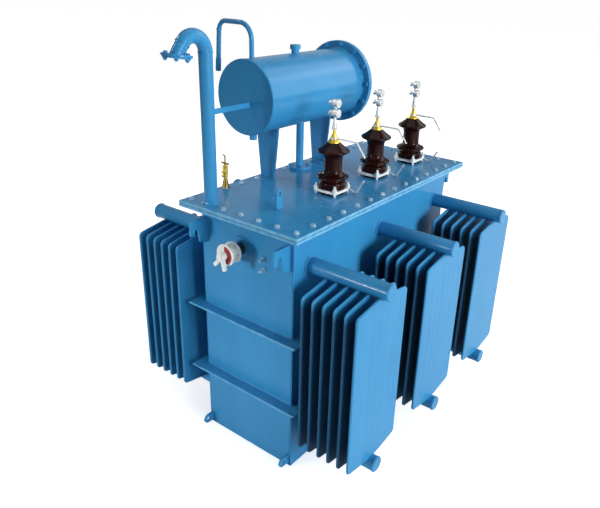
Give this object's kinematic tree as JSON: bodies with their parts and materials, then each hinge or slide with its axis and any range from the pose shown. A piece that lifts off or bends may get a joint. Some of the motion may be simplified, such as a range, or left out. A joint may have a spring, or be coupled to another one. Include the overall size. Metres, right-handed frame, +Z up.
{
  "type": "distribution transformer",
  "caption": "Oil-filled distribution transformer: finned radiators on a welded tank, bolted cover with bushings, raised oil conservator, gooseneck vent and a turning tap switch.",
  "frame": {"origin": "centre of the tank's underside, on the floor", "axes": "+Z up, X along the tank with the tap switch at -X, high-voltage bushings and front radiators towards -Y"},
  "size_m": [1.4506, 1.176, 1.6753],
  "materials": {
    "enamel": "gloss",
    "porcelain": "gloss",
    "brass": "satin",
    "zinc": "satin",
    "switch_metal": "satin",
    "dial_red": "gloss",
    "gasket": "matte"
  },
  "bodies": {
    "transformer": {"base_plate": "enamel", "front_wall": "enamel", "back_wall": "enamel", "left_end_wall": "enamel", "right_end_wall": "enamel", "rim_flange": "enamel", "cover_gasket": "gasket", "cover": "enamel", "lower_stiffener": "enamel", "upper_stiffener": "enamel", "lifting_hooks": "enamel", "base_lugs": "enamel", "cover_lugs": "enamel", "front_fins_1": "enamel", "front_fins_2": "enamel", "front_fins_3": "enamel", "back_fins_1": "enamel", "back_fins_2": "enamel", "back_fins_3": "enamel", "front_headers": "enamel", "back_headers": "enamel", "conservator_shell": "enamel", "conservator_end_disc": "enamel", "conservator_flange": "enamel", "conservator_end_cover": "enamel", "conservator_legs": "enamel", "feed_flange": "enamel", "feed_pipe": "enamel", "filler_cap": "enamel", "breather_pipe": "enamel", "drain_boss": "enamel", "brace_bar": "enamel", "vent_pipe": "enamel", "vent_flange": "enamel", "oil_valve": "brass", "hv_clamps": "zinc", "hv_porcelains": "porcelain", "hv_terminals": "brass", "hv_connectors": "zinc", "hv_horns": "zinc", "lv_porcelains": "porcelain", "lv_terminals": "brass", "tap_switch": "switch_metal", "tap_dial": "dial_red"},
    "tap_handle": {"tap_handle": "switch_metal"}
  },
  "joints": [
    {"name": "tap_turn", "type": "hinge", "parent": "transformer", "child": "tap_handle", "pos_m": [-0.676, 0.018, 0.903], "axis": [-1, 0, 0], "range_deg": [-60, 60]}
  ]
}
